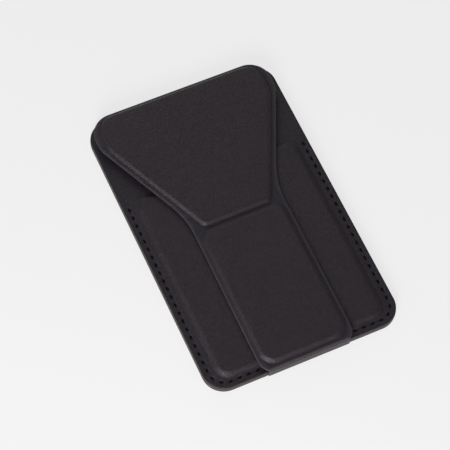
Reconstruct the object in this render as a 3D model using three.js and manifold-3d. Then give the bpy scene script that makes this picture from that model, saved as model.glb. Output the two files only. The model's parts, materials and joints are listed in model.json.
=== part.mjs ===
// A leather card holder for the back of a phone, with a flap that folds up into a stand.
// Millimetres. The holder lies with its phone face on z = 0, the lower edge towards -Y and the
// wide end of the flap towards +Y. The origin is the middle of the phone face.
import * as THREE from "three";
import { mergeVertices } from "three/addons/utils/BufferGeometryUtils.js";
import Module from "manifold-3d";

// Body: a stack of back panel, core, lining and front leather
const bodyWidth = 65;
const bodyLength = 101.2;
const bodyCorner = 7;
const backThickness = 0.6;
const coreThickness = 1.3;
const liningThickness = 0.2;
const frontThickness = 0.7;

// Card pocket, moulded into the front leather
const cardWidth = 54;
const cardSideRoom = 0.2;
const cardCorner = 3.2;
const pocketHeight = 0.9;
const pocketFloorInset = 4.2;
const mouthFromTop = 30.5;
const mouthSlit = 0.5;
const mouldSlope = 1.9;
const mouldWall = 1.5;

// Flap outline: a narrow stem, a neck and a wide foot
const stemWidth = 31.4;
const footWidth = 62;
const foldWidth = 27.4;
const foldTaper = 2.7;
const foldTaperRadius = 4;
const neckFromCrease = 5.7;
const neckRadius = 30;
const shoulderFromTop = 11.3;
const shoulderRadius = 9;
const footCorner = 7.3;
const creaseFromFold = 52.3;
const creaseGap = 0.5;
const liningCreaseGap = 1.8;
const footOverhang = 0.7;

// Flap stack: lining, stiff boards and the cover that is moulded over them
const flapClearance = 0.3;
const flapLining = 0.3;
const flapCover = 0.5;
const boardThickness = 0.9;
const boardClearance = 0.3;
const boardSlope = 1.1;
const stemBoardSide = 1.9;
const stemBoardFold = 2.4;
const stemBoardCorner = 4;
const stemBoardCreaseCorner = 3;
const boardFromCrease = 1.2;
const footBoardSide = 2.05;
const footBoardShoulder = 2.7;
const footBoardTop = 1.1;
const footBoardNeckCorner = 1;

// Hinge strip that is folded over the lower edge of the body and tucked behind the core
const stripThickness = 0.7;
const stripTail = 12;
const stripTailThickness = 0.6;
const stripSideRoom = 0.3;

// Magnets and steel
const ringOuter = 27;
const ringInner = 23;
const ringFromMiddle = 8;
const ringMagnets = 16;
const ringMagnetGap = 0.8;
const ringMagnetThickness = 0.8;
const shieldThickness = 0.2;
const seatClearance = 0.3;
const alignWidth = 5;
const alignFromRing = 4;
const alignFromTail = 1.6;
const catchWidth = 42;
const catchDepth = 7;
const catchThickness = 0.5;
const catchFromTop = 4.5;
const flapMagnetWidth = 10;
const flapMagnetDepth = 5;
const flapMagnetThickness = 0.8;
const footMagnets = 3;
const footMagnetPitch = 15;
const stemMagnets = 2;
const stemMagnetPitch = 12;

// Facets: half the number of steps on each arc
const arcSteps = 5;
const ringSteps = 24;
const slopeSteps = 4;
const farAway = 200;

// Heights and places that follow from the sizes above
const bodyTopEdge = bodyLength / 2;
const bodyLowEdge = -bodyLength / 2;
const coreBottom = backThickness;
const coreTop = coreBottom + coreThickness;
const pocketFloorZ = coreTop + liningThickness;
const frontTop = pocketFloorZ + frontThickness;
const pocketTop = pocketFloorZ + pocketHeight;
const mouldTop = frontTop + pocketHeight;
const flapBottom = mouldTop + flapClearance;
const coverBottom = flapBottom + flapLining;
const flangeTop = coverBottom + flapCover;
const boardTop = coverBottom + boardThickness;
const flapTop = boardTop + flapCover;
const foldY = bodyLowEdge - stripThickness;
const creaseY = foldY + creaseFromFold;
const flapEndY = bodyTopEdge + footOverhang;
const mouthY = bodyTopEdge - mouthFromTop;
const foldRadius = flangeTop - flapBottom;

const wasm = await Module();
wasm.setup();

// The closed mesh of a geometry as a solid that can be joined and cut.
function solidOf(geometry) {
  const bare = geometry.clone();
  bare.deleteAttribute("normal");
  bare.deleteAttribute("uv");
  const merged = mergeVertices(bare, 1e-4);
  return new wasm.Manifold(
    new wasm.Mesh({
      numProp: 3,
      vertProperties: new Float32Array(merged.attributes.position.array),
      triVerts: new Uint32Array(merged.index.array),
    }),
  );
}

function geometryOf(solid) {
  const mesh = solid.getMesh();
  const geometry = new THREE.BufferGeometry();
  geometry.setAttribute("position", new THREE.BufferAttribute(mesh.vertProperties, 3));
  geometry.setIndex(new THREE.BufferAttribute(mesh.triVerts, 1));
  return geometry;
}

const corner = (x, y, radius = 0) => ({ x, y, radius });

const mirrored = (rightSide) => [
  ...rightSide,
  ...rightSide.map(({ x, y, radius }) => corner(-x, y, radius)).reverse(),
];

function rectangle(left, right, low, high, lowRadius = 0, highRadius = lowRadius) {
  return [
    corner(left, low, lowRadius),
    corner(right, low, lowRadius),
    corner(right, high, highRadius),
    corner(left, high, highRadius),
  ];
}

// Moves each edge of an anticlockwise outline outwards by its own distance. Edge i runs from
// corner i to the next one. Round corners keep their centre where both edges move alike.
function movedEdges(corners, distances) {
  const count = corners.length;
  const edges = corners.map((start, i) => {
    const end = corners[(i + 1) % count];
    const along = new THREE.Vector2(end.x - start.x, end.y - start.y).normalize();
    const outward = new THREE.Vector2(along.y, -along.x);
    const through = new THREE.Vector2(start.x, start.y).addScaledVector(outward, distances[i]);
    return { along, through };
  });
  return corners.map(({ radius }, i) => {
    const before = edges[(i + count - 1) % count];
    const after = edges[i];
    const turn = before.along.cross(after.along);
    const gap = after.through.clone().sub(before.through);
    const point = before.through.clone().addScaledVector(before.along, gap.cross(after.along) / turn);
    const grown = radius + Math.sign(turn) * (distances[i] + distances[(i + count - 1) % count]) / 2;
    return corner(point.x, point.y, radius > 0 ? Math.max(grown, 0) : 0);
  });
}

const grown = (corners, distance) => movedEdges(corners, corners.map(() => distance));

// An outline with each corner rounded by an arc of its own radius.
function roundedShape(corners) {
  const shape = new THREE.Shape();
  const count = corners.length;
  corners.forEach(({ x, y, radius }, i) => {
    const before = corners[(i + count - 1) % count];
    const after = corners[(i + 1) % count];
    if (radius <= 0) {
      if (i) shape.lineTo(x, y);
      else shape.moveTo(x, y);
      return;
    }
    const here = new THREE.Vector2(x, y);
    const into = new THREE.Vector2(x - before.x, y - before.y).normalize();
    const away = new THREE.Vector2(after.x - x, after.y - y).normalize();
    const turn = Math.sign(into.cross(away));
    const halfTurn = Math.acos(THREE.MathUtils.clamp(into.dot(away), -1, 1)) / 2;
    const start = here.clone().addScaledVector(into, -radius * Math.tan(halfTurn));
    const centre = start.clone().add(new THREE.Vector2(-into.y, into.x).multiplyScalar(turn * radius));
    const startAngle = Math.atan2(start.y - centre.y, start.x - centre.x);
    const endAngle = startAngle + turn * 2 * halfTurn;
    shape.absarc(centre.x, centre.y, radius, startAngle, endAngle, turn < 0);
  });
  shape.closePath();
  return shape;
}

// A flat sheet of any outline between two heights.
function sheet(shape, low, high, steps = arcSteps) {
  const geometry = new THREE.ExtrudeGeometry(shape, {
    depth: high - low,
    bevelEnabled: false,
    curveSegments: steps,
  });
  return solidOf(geometry.translate(0, 0, low));
}

const plate = (corners, low, high) => sheet(roundedShape(corners), low, high);

const block = (left, right, near, far, low, high) =>
  plate(rectangle(left, right, near, far), low, high);

// A plateau whose foot stands on the outline at the lower height and whose sides round over by
// the slope on their way up, as leather does when it is moulded over a board.
function moulded(corners, low, high, slope) {
  const rise = high - low;
  const geometry = new THREE.ExtrudeGeometry(roundedShape(corners), {
    depth: rise,
    bevelEnabled: true,
    bevelThickness: rise,
    bevelSize: slope,
    bevelOffset: -slope,
    bevelSegments: slopeSteps,
    curveSegments: arcSteps,
  });
  const whole = solidOf(geometry.translate(0, 0, low - rise));
  return whole.intersect(block(-farAway, farAway, -farAway, farAway, low, high + rise));
}

// A profile drawn in the YZ plane and carried across the width.
function acrossWidth(shape, width) {
  const geometry = new THREE.ExtrudeGeometry(shape, {
    depth: width,
    bevelEnabled: false,
    curveSegments: arcSteps,
  });
  geometry.translate(0, 0, -width / 2);
  const turned = new THREE.Matrix4().makeBasis(
    new THREE.Vector3(0, 1, 0),
    new THREE.Vector3(0, 0, 1),
    new THREE.Vector3(1, 0, 0),
  );
  return solidOf(geometry.applyMatrix4(turned));
}

const leather = { color: 0x2d292e, roughness: 0.62, metalness: 0 };
const microfibre = { color: 0x1d1b1e, roughness: 0.95, metalness: 0 };
const board = { color: 0x55504a, roughness: 0.8, metalness: 0 };
const nickel = { color: 0xb9bcc0, roughness: 0.28, metalness: 1 };
const steel = { color: 0x8d9094, roughness: 0.4, metalness: 1 };

const holder = new THREE.Group();

function addPiece(parent, name, solid, finish) {
  const mesh = new THREE.Mesh(geometryOf(solid), new THREE.MeshStandardMaterial(finish));
  mesh.name = name;
  parent.add(mesh);
}

// Body

const bodyCorners = rectangle(
  -bodyWidth / 2, bodyWidth / 2, bodyLowEdge, bodyTopEdge, bodyCorner,
);
const ringY = ringFromMiddle;
const alignCorners = rectangle(
  -alignWidth / 2,
  alignWidth / 2,
  bodyLowEdge + stripTail + alignFromTail,
  ringY - ringOuter - alignFromRing,
);
const catchTop = bodyTopEdge - catchFromTop;
const catchCorners = rectangle(
  -catchWidth / 2, catchWidth / 2, catchTop - catchDepth, catchTop, 1,
);

function ringShape(inner, outer) {
  const shape = new THREE.Shape();
  shape.absarc(0, ringY, outer, 0, 2 * Math.PI);
  const hole = new THREE.Path();
  hole.absarc(0, ringY, inner, 0, 2 * Math.PI, true);
  shape.holes.push(hole);
  return shape;
}

// One magnet of the ring, between two angles.
function arcShape(inner, outer, from, to) {
  const shape = new THREE.Shape();
  shape.absarc(0, ringY, outer, from, to);
  shape.absarc(0, ringY, inner, to, from, true);
  shape.closePath();
  return shape;
}

const magnetTop = coreBottom + ringMagnetThickness;
const shieldTop = magnetTop + shieldThickness;

// The stiff core, with a groove for the ring, a pocket for the straight magnet and a recess for
// the hinge strip's tail in its back, and a recess for the catch bar in its front.
function bodyCore() {
  const below = coreBottom - 1;
  const tailCorners = rectangle(
    -foldWidth / 2 - stripSideRoom,
    foldWidth / 2 + stripSideRoom,
    bodyLowEdge - 1,
    bodyLowEdge + stripTail + stripSideRoom,
  );
  const groove = ringShape(ringInner - seatClearance, ringOuter + seatClearance);
  return plate(bodyCorners, coreBottom, coreTop)
    .subtract(sheet(groove, below, shieldTop, ringSteps))
    .subtract(plate(grown(alignCorners, seatClearance), below, magnetTop))
    .subtract(plate(tailCorners, below, coreBottom + stripTailThickness))
    .subtract(plate(grown(catchCorners, seatClearance), coreTop - catchThickness, coreTop + 1));
}

// The front leather: a flat border that rises over the card, a card space that is open to the
// lining, and a slit across the upper end of the moulding that the card comes out of.
function frontPanel() {
  const cardHalf = cardWidth / 2 + cardSideRoom;
  const pocketLow = bodyLowEdge + pocketFloorInset;
  const mouldCorners = rectangle(
    -cardHalf - mouldWall,
    cardHalf + mouldWall,
    pocketLow - mouldWall,
    mouthY + mouldSlope / 2,
    cardCorner + mouldWall,
    mouldSlope + mouldWall,
  );
  const slitEnd = mouthY + mouthSlit;
  const cardSpace = rectangle(-cardHalf, cardHalf, pocketLow, slitEnd, cardCorner, 0);
  const mouthSlot = block(-cardHalf, cardHalf, mouthY, slitEnd, pocketFloorZ - 1, mouldTop + 1);
  const beyondMouth = block(-farAway, farAway, mouthY, bodyTopEdge, frontTop, mouldTop + 1);
  const moulding = moulded(mouldCorners, frontTop, mouldTop, mouldSlope).subtract(beyondMouth);
  return plate(bodyCorners, pocketFloorZ, frontTop)
    .add(moulding)
    .subtract(plate(cardSpace, pocketFloorZ - 1, pocketTop))
    .subtract(mouthSlot);
}

// The strip's outside corner is round where it turns under the body.
function hingeStrip() {
  const stripTop = flapBottom - flapClearance;
  const tailTop = coreBottom + stripTailThickness;
  const tailEnd = bodyLowEdge + stripTail;
  const profile = [
    corner(foldY, stripTop),
    corner(foldY, coreBottom, stripTailThickness),
    corner(tailEnd, coreBottom),
    corner(tailEnd, tailTop),
    corner(bodyLowEdge, tailTop),
    corner(bodyLowEdge, stripTop),
  ];
  return acrossWidth(roundedShape(profile), foldWidth);
}

const body = new THREE.Group();
holder.add(body);
addPiece(body, "back_panel", plate(bodyCorners, 0, backThickness), leather);
addPiece(body, "body_core", bodyCore(), board);
addPiece(body, "pocket_lining", plate(bodyCorners, coreTop, pocketFloorZ), microfibre);
addPiece(body, "front_panel", frontPanel(), leather);
addPiece(body, "hinge_strip", hingeStrip(), leather);
addPiece(
  body, "shield_ring", sheet(ringShape(ringInner, ringOuter), magnetTop, shieldTop, ringSteps), steel,
);
for (let i = 0; i < ringMagnets; i++) {
  const pitch = (2 * Math.PI) / ringMagnets;
  const halfGap = ringMagnetGap / 2 / ringInner;
  const magnet = arcShape(ringInner, ringOuter, i * pitch + halfGap, (i + 1) * pitch - halfGap);
  const name = "ring_magnet_" + String(i + 1).padStart(2, "0");
  addPiece(body, name, sheet(magnet, coreBottom, magnetTop, 3), nickel);
}
addPiece(body, "align_magnet", plate(alignCorners, coreBottom, magnetTop), nickel);
addPiece(body, "catch_bar", plate(catchCorners, coreTop - catchThickness, coreTop), steel);

// Flap

const neckY = creaseY + neckFromCrease;
const shoulderY = flapEndY - shoulderFromTop;
const flapOutline = mirrored([
  corner(foldWidth / 2, foldY),
  corner(stemWidth / 2, foldY + foldTaper, foldTaperRadius),
  corner(stemWidth / 2, neckY, neckRadius),
  corner(footWidth / 2, shoulderY, shoulderRadius),
  corner(footWidth / 2, flapEndY, footCorner),
]);

// The stem's leather rounds over into the strip at the fold.
function foldEnd() {
  const profile = [
    corner(foldY, flapBottom),
    corner(farAway, flapBottom),
    corner(farAway, farAway),
    corner(foldY + foldRadius, farAway),
    corner(foldY + foldRadius, flangeTop),
  ];
  const shape = roundedShape(profile);
  shape.curves.pop();
  shape.absarc(foldY + foldRadius, flapBottom, foldRadius, Math.PI / 2, Math.PI);
  return acrossWidth(shape, stemWidth * 2);
}

// The two halves stop short of the crease. The lining stops further back than the cover, so that
// the halves can close towards it when the crease bends outwards.
const stemZone = (gap) =>
  foldEnd().intersect(
    block(-farAway, farAway, foldY, creaseY - gap / 2, flapBottom, flapTop + 1),
  );
const footZone = (gap) =>
  block(-farAway, farAway, creaseY + gap / 2, flapEndY + 1, flapBottom, flapTop + 1);

const stemBoardCorners = rectangle(
  -stemWidth / 2 + stemBoardSide,
  stemWidth / 2 - stemBoardSide,
  foldY + stemBoardFold,
  creaseY - boardFromCrease,
  stemBoardCorner,
  stemBoardCreaseCorner,
);

// The foot's board follows the foot's outline, with the neck's straight sides carried on to the
// crease.
const sideLean = (footWidth - stemWidth) / 2 / (shoulderY - neckY);
const creaseHalf = stemWidth / 2 - neckFromCrease * sideLean;
const footBoardCorners = movedEdges(
  mirrored([
    corner(creaseHalf, creaseY, footBoardNeckCorner + footBoardSide),
    corner(footWidth / 2, shoulderY, shoulderRadius),
    corner(footWidth / 2, flapEndY, footCorner),
  ]),
  [
    -footBoardSide, -footBoardShoulder, -footBoardTop, -footBoardShoulder, -footBoardSide,
    -boardFromCrease,
  ],
);

const cover = (zone, boardCorners) =>
  plate(flapOutline, coverBottom, flangeTop)
    .add(moulded(grown(boardCorners, boardSlope), flangeTop, flapTop, boardSlope))
    .intersect(zone(creaseGap))
    .subtract(plate(grown(boardCorners, boardClearance), flapBottom, boardTop));

const magnetSeats = (count, pitch, y) =>
  Array.from({ length: count }, (_, i) => {
    const x = (i - (count - 1) / 2) * pitch;
    return rectangle(
      x - flapMagnetWidth / 2,
      x + flapMagnetWidth / 2,
      y - flapMagnetDepth / 2,
      y + flapMagnetDepth / 2,
    );
  });

function flapHalf(name, zone, boardCorners, seats) {
  const half = new THREE.Group();
  const lining = plate(flapOutline, flapBottom, coverBottom).intersect(zone(liningCreaseGap));
  addPiece(half, name + "_lining", lining, microfibre);
  const windows = seats.map((seat) => plate(grown(seat, seatClearance), flapBottom, flapTop));
  const stiffener = windows.reduce(
    (rest, window) => rest.subtract(window), plate(boardCorners, coverBottom, boardTop),
  );
  addPiece(half, name + "_board", stiffener, board);
  seats.forEach((seat, i) => {
    const magnet = plate(seat, coverBottom, coverBottom + flapMagnetThickness);
    addPiece(half, name + "_magnet_" + (i + 1), magnet, nickel);
  });
  addPiece(half, name + "_cover", cover(zone, boardCorners), leather);
  return half;
}

const ringLowY = ringY - (ringInner + ringOuter) / 2;
const stem = flapHalf(
  "stem", stemZone, stemBoardCorners, magnetSeats(stemMagnets, stemMagnetPitch, ringLowY),
);
const foot = flapHalf(
  "foot",
  footZone,
  footBoardCorners,
  magnetSeats(footMagnets, footMagnetPitch, catchTop - catchDepth / 2),
);
stem.add(foot);
holder.add(stem);

export default holder;
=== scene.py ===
"""A leather card holder for the back of a phone, dressed over its packed construction.

The holder lies with its phone face on the floor, the hinged lower edge towards -Y and the wide end
of the flap towards +Y. Sizes are in metres unless a name says otherwise.
"""

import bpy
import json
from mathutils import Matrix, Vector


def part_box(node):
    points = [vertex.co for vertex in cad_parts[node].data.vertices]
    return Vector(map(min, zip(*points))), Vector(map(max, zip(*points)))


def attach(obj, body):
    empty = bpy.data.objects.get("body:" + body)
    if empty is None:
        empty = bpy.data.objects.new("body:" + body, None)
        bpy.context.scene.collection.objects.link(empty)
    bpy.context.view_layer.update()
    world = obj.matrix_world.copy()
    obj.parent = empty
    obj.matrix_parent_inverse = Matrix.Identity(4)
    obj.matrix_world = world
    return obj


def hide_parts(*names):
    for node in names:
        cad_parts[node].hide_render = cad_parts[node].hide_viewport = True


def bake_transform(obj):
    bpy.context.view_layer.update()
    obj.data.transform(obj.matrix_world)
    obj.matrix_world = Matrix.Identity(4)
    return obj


bl_info = {
    "name": "Phone Card Holder",
    "version": (1, 0, 0),
    "blender": (4, 5, 0),
    "location": "View3D > Sidebar > Card Holder",
    "description": "Builds the leather, stitching and lining of a phone card holder with a stand flap",
    "category": "Add Mesh",
}

import json
import math

import bpy
import numpy as np
from bpy.props import FloatProperty, FloatVectorProperty, PointerProperty
from mathutils import Vector, noise
from mathutils.geometry import delaunay_2d_cdt

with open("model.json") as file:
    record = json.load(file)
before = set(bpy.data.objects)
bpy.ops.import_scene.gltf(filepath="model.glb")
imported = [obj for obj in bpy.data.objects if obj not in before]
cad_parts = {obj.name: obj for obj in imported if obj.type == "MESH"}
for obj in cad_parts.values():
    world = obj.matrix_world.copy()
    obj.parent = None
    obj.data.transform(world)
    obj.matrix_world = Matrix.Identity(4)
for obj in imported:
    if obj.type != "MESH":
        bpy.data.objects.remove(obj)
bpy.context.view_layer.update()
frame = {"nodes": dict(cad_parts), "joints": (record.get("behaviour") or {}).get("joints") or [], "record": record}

MM = 0.001
FAR = 1e9
TINY = 1e-9
MERGE_DISTANCE = 1e-7

back_low, back_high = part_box("back_panel")
front_low, front_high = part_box("front_panel")
strip_low, strip_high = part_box("hinge_strip")
stem_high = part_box("stem_cover")[1]
foot_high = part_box("foot_cover")[1]
stem_board_low, stem_board_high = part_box("stem_board")
stem_lining_low, stem_lining_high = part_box("stem_lining")

JOINTS = {joint["name"]: joint for joint in frame["joints"]}
CREASE = Vector(JOINTS["foot_crease"]["pos_m"])


class HolderSizes(bpy.types.PropertyGroup):
    """Sizes of the leather work."""

    grid: FloatProperty(
        name="Grid", description="Spacing of the points over open leather",
        default=1.3 * MM, unit="LENGTH",
    )
    step: FloatProperty(
        name="Step", description="Spacing of the points along edges and mouldings",
        default=0.7 * MM, unit="LENGTH",
    )
    edge_round: FloatProperty(
        name="Edge round", description="Radius of the rounded cut edges",
        default=0.2 * MM, unit="LENGTH",
    )
    body_corner: FloatProperty(
        name="Body corner", description="Radius of the body's four corners",
        default=7 * MM, unit="LENGTH",
    )
    mould_rise: FloatProperty(
        name="Moulding rise", description="Height of the card moulding over the border",
        default=0.9 * MM, unit="LENGTH",
    )
    mould_slope: FloatProperty(
        name="Moulding slope", description="Width of the slope round the card moulding",
        default=2.4 * MM, unit="LENGTH",
    )
    foot_slope: FloatProperty(
        name="Foot slope", description="Width of the slope round the wide board in the flap",
        default=1.3 * MM, unit="LENGTH",
    )
    stem_slope: FloatProperty(
        name="Stem slope", description="Width of the slope round the narrow board in the flap",
        default=1.7 * MM, unit="LENGTH",
    )
    stitch_pitch: FloatProperty(
        name="Stitch pitch", description="Distance from one stitch to the next",
        default=3.0 * MM, unit="LENGTH",
    )
    stitch_length: FloatProperty(
        name="Stitch length", description="Visible length of a stitch",
        default=1.6 * MM, unit="LENGTH",
    )
    stitch_inset: FloatProperty(
        name="Stitch inset", description="Distance of the stitching from the body's edge",
        default=1.9 * MM, unit="LENGTH",
    )
    stitch_end: FloatProperty(
        name="Stitch end", description="How far up the sides the stitching reaches",
        default=19 * MM, unit="LENGTH",
    )
    thread_width: FloatProperty(
        name="Thread width", description="Diameter of the sewing thread",
        default=0.6 * MM, unit="LENGTH",
    )


class HolderColours(bpy.types.PropertyGroup):
    """Colours of the finishes."""

    leather: FloatVectorProperty(
        name="Leather", description="Grain side of the leather",
        subtype="COLOR", size=4, default=(0.0180, 0.0098, 0.0164, 1),
    )
    edge: FloatVectorProperty(
        name="Edge", description="Stacked edge between the two leathers",
        subtype="COLOR", size=4, default=(0.044, 0.027, 0.019, 1),
    )
    # The lining's own near-black, set darker still as painted shade in the gap under the flap's edge
    lining: FloatVectorProperty(
        name="Lining", description="Microfibre under the flap and in the pocket",
        subtype="COLOR", size=4, default=(0.009, 0.008, 0.009, 1),
    )
    thread: FloatVectorProperty(
        name="Thread", description="Waxed sewing thread",
        subtype="COLOR", size=4, default=(0.0015, 0.0015, 0.0018, 1),
    )
    board: FloatVectorProperty(
        name="Board", description="Pressed fibre board",
        subtype="COLOR", size=4, default=(0.06, 0.05, 0.042, 1),
    )
    floor: FloatVectorProperty(
        name="Floor", description="Paper that the holder lies on",
        subtype="COLOR", size=4, default=(0.88, 0.88, 0.88, 1),
    )


# Outlines: a corner is (x, y, radius), anticlockwise

def mirrored(right_side):
    """A whole outline from the corners of its right side, from the lowest to the highest."""
    return right_side + [(-x, y, radius) for x, y, radius in reversed(right_side)]


def rectangle(left, right, low, high, low_radius, high_radius):
    return [
        (left, low, low_radius),
        (right, low, low_radius),
        (right, high, high_radius),
        (left, high, high_radius),
    ]


def cross(first, second):
    return first.x * second.y - first.y * second.x


def moved_edges(corners, distances):
    """The outline with edge i, from corner i to the next, moved outwards by its own distance.
    Outward corners get a larger radius by it, and hollow ones a smaller radius."""
    edges = []
    for i, (x, y, _) in enumerate(corners):
        end_x, end_y, _ = corners[(i + 1) % len(corners)]
        along = Vector((end_x - x, end_y - y)).normalized()
        outward = Vector((along.y, -along.x))
        edges.append((along, Vector((x, y)) + outward * distances[i]))
    moved = []
    for i, (_, _, radius) in enumerate(corners):
        before_along, before_through = edges[i - 1]
        after_along, after_through = edges[i]
        turn = cross(before_along, after_along)
        reach = cross(after_through - before_through, after_along) / turn
        point = before_through + before_along * reach
        mean = (distances[i] + distances[i - 1]) / 2
        change = mean if turn > 0 else -mean
        moved.append((point.x, point.y, max(radius + change, 0) if radius > 0 else 0))
    return moved


def grown(corners, distance):
    return moved_edges(corners, [distance] * len(corners))


def outline_parts(corners):
    """The outline as arcs and the straight lines between them."""
    arcs = []
    for i, (x, y, radius) in enumerate(corners):
        here = Vector((x, y))
        into = (here - Vector(corners[i - 1][:2])).normalized()
        away = (Vector(corners[(i + 1) % len(corners)][:2]) - here).normalized()
        turn = 1 if cross(into, away) > 0 else -1
        half_turn = math.acos(max(-1, min(1, into.dot(away)))) / 2
        reach = radius * math.tan(half_turn)
        start = here - into * reach
        centre = start + Vector((-into.y, into.x)) * radius * turn
        angle = math.atan2(start.y - centre.y, start.x - centre.x)
        arcs.append((start, here + away * reach, centre, radius, angle, turn, 2 * half_turn))
    parts = []
    for i, arc in enumerate(arcs):
        parts.append(("arc",) + arc)
        parts.append(("line", arc[1], arcs[(i + 1) % len(arcs)][0]))
    return parts


def outline_points(corners, step):
    """Points round the outline, about a step apart."""
    points = []
    for part in outline_parts(corners):
        if part[0] == "line":
            _, start, end = part
            count = max(1, round((end - start).length / step))
            points += [start.lerp(end, i / count) for i in range(count)]
        else:
            _, start, _, centre, radius, angle, turn, sweep = part
            if radius == 0:
                continue
            count = max(4, round(radius * sweep / step))
            for i in range(count):
                at = angle + turn * sweep * i / count
                points.append(centre + Vector((math.cos(at), math.sin(at))) * radius)
    return points


def inside_distance(points, corners):
    """How far each point lies inside the outline, below zero outside it."""
    points = np.asarray(points)
    nearest = np.full(len(points), FAR)
    signed = np.full(len(points), -FAR)
    for part in outline_parts(corners):
        if part[0] == "line":
            start = np.array(part[1])
            along = np.array(part[2]) - start
            length = np.hypot(*along)
            if length < TINY:
                continue
            along /= length
            offset = points - start
            reach = np.clip(offset @ along, 0, length)
            distance = np.hypot(*(offset - reach[:, None] * along).T)
            side = along[0] * offset[:, 1] - along[1] * offset[:, 0]
        else:
            _, _, _, centre, radius, angle, turn, sweep = part
            offset = points - np.array(centre)
            from_centre = np.hypot(*offset.T)
            swept = ((np.arctan2(offset[:, 1], offset[:, 0]) - angle) * turn) % (2 * math.pi)
            distance = np.where(swept <= sweep, np.abs(from_centre - radius), FAR)
            side = turn * (radius - from_centre)
        closer = distance < nearest
        nearest[closer] = distance[closer]
        signed[closer] = np.where(side >= 0, distance, -distance)[closer]
    return signed


def smooth(share):
    """A soft rise from 0 to 1 that starts and ends level."""
    share = np.clip(share, 0, 1)
    return share * share * (3 - 2 * share)


def undulation(points, size, depth):
    """Slow, shallow waves of pressed leather."""
    values = [noise.noise(Vector((x / size, y / size, 0.5))) for x, y in points]
    return np.array(values) * depth


# Leather sheets

def flat_mesh(corners, rings, lines, grid):
    """Triangles that fill an outline and follow the given rings and lines."""
    points = []
    edges = []
    for ring in rings:
        first = len(points)
        points += [tuple(point) for point in ring]
        edges += [(first + i, first + (i + 1) % len(ring)) for i in range(len(ring))]
    for line in lines:
        first = len(points)
        points += [tuple(point) for point in line]
        edges += [(first + i, first + i + 1) for i in range(len(line) - 1)]
    fixed = np.array(points)
    low = fixed.min(0)
    high = fixed.max(0)
    row_height = grid * math.sqrt(3) / 2
    spread = []
    for row in range(int((high[1] - low[1]) / row_height)):
        shift = grid / 2 if row % 2 else 0
        for column in range(int((high[0] - low[0]) / grid)):
            spread.append((low[0] + shift + column * grid, low[1] + (row + 0.5) * row_height))
    spread = np.array(spread)
    spread = spread[inside_distance(spread, corners) > grid / 2]
    cell = grid / 2
    taken = {(round(x / cell), round(y / cell)) for x, y in fixed}
    spread = [(x, y) for x, y in spread if (round(x / cell), round(y / cell)) not in taken]
    found = delaunay_2d_cdt([Vector(p) for p in points + spread], edges, [], 0, MERGE_DISTANCE)
    vertices = np.array([tuple(p) for p in found[0]])
    triangles = np.array([face for face in found[2] if len(face) == 3])
    middles = vertices[triangles].mean(1)
    return vertices, triangles[inside_distance(middles, corners) > 0]


def closed_sheet(name, triangles, top, bottom, finish):
    """A sheet with its upper and lower face and a wall along every open edge. Its finish holds
    shares of each point, such as how far it is pressed flat, for the material."""
    used = np.unique(triangles)
    number = {old: new for new, old in enumerate(used)}
    count = len(used)
    faces = [tuple(number[v] for v in face) for face in triangles]
    sides = dict.fromkeys(edge for a, b, c in faces for edge in ((a, b), (b, c), (c, a)))
    open_edges = [edge for edge in sides if (edge[1], edge[0]) not in sides]
    walls = [(b, a, a + count, b + count) for a, b in open_edges]
    under = [(c + count, b + count, a + count) for a, b, c in faces]
    mesh = bpy.data.meshes.new(name)
    vertices = np.vstack([top[used], bottom[used]]).tolist()
    mesh.from_pydata(vertices, [], faces + walls + under)
    for label, share in finish.items():
        layer = mesh.attributes.new(label, "FLOAT", "POINT")
        layer.data.foreach_set("value", np.tile(share[used], 2).astype(np.float32))
    mesh.update()
    return linked(name, mesh)


def linked(name, mesh):
    piece = bpy.data.objects.new(name, mesh)
    bpy.context.scene.collection.objects.link(piece)
    return piece


def select_only(piece):
    bpy.ops.object.select_all(action="DESELECT")
    piece.select_set(True)
    bpy.context.view_layer.objects.active = piece


def shade(piece, angle=40):
    """Smooth faces, with a crease where they meet at more than the angle in degrees."""
    select_only(piece)
    bpy.ops.object.shade_smooth_by_angle(angle=math.radians(angle))


def edge_drop(inside, radius):
    """How far a rounded cut edge falls away at a distance inside the outline."""
    share = np.clip(1 - inside / radius, 0, 1)
    return radius * (1 - np.sqrt(1 - share * share))


def edge_rings(corners, radius, step):
    """Rings across a rounded edge, closest together where it is steepest."""
    shares = (0, 0.12, 0.35, 0.65, 1)
    return [outline_points(grown(corners, -radius * share), step) for share in shares]


def slope_rings(corners, slope, step, count):
    """Rings across a slope that lies inside the outline of its foot."""
    return [outline_points(grown(corners, -slope * i / count), step) for i in range(count + 1)]


def body_outline():
    sizes = bpy.context.scene.card_holder_sizes
    return rectangle(
        back_low.x, back_high.x, back_low.y, back_high.y, sizes.body_corner, sizes.body_corner,
    )


# Front leather

CARD_HALF = 27.2 * MM
CARD_CORNER = 3.2 * MM
MOULD_WALL = 1.7 * MM
MOUTH_Y = front_high.y - 30.25 * MM
MOUTH_GAP = 0.5 * MM
MOUTH_OPEN_HALF = 14 * MM
MOUTH_CLOSING = 8 * MM
MOUTH_SHUT_HALF_GAP = 0.04 * MM
MOUTH_OVERRUN = 9 * MM
MOULD_LOW = front_low.y + 2.5 * MM
MOULD_RINGS = 9
MOULD_RING_INSET = 0.3 * MM
FRONT_WAVE_SIZE = 14 * MM
FRONT_WAVE_DEPTH = 0.06 * MM
SEAM_FADE = 2 * MM
SEAM_WIDTH = 1.0 * MM
SEAM_DEPTH = 0.1 * MM
GROOVE_WIDTH = 0.35 * MM
PAINT_WIDTH = 0.25 * MM
BORDER_FADE = 3 * MM
PATH_STEP = 0.1 * MM


def mould_outline(top):
    return rectangle(
        -CARD_HALF - MOULD_WALL, CARD_HALF + MOULD_WALL, MOULD_LOW, top,
        CARD_CORNER + MOULD_WALL, CARD_CORNER + MOULD_WALL,
    )


def mouth_opening(x):
    """How far the lips of the mouth stand apart: all the way in the middle, shut at the ends."""
    return 1 - smooth((np.abs(x) - MOUTH_OPEN_HALF) / MOUTH_CLOSING)


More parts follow.
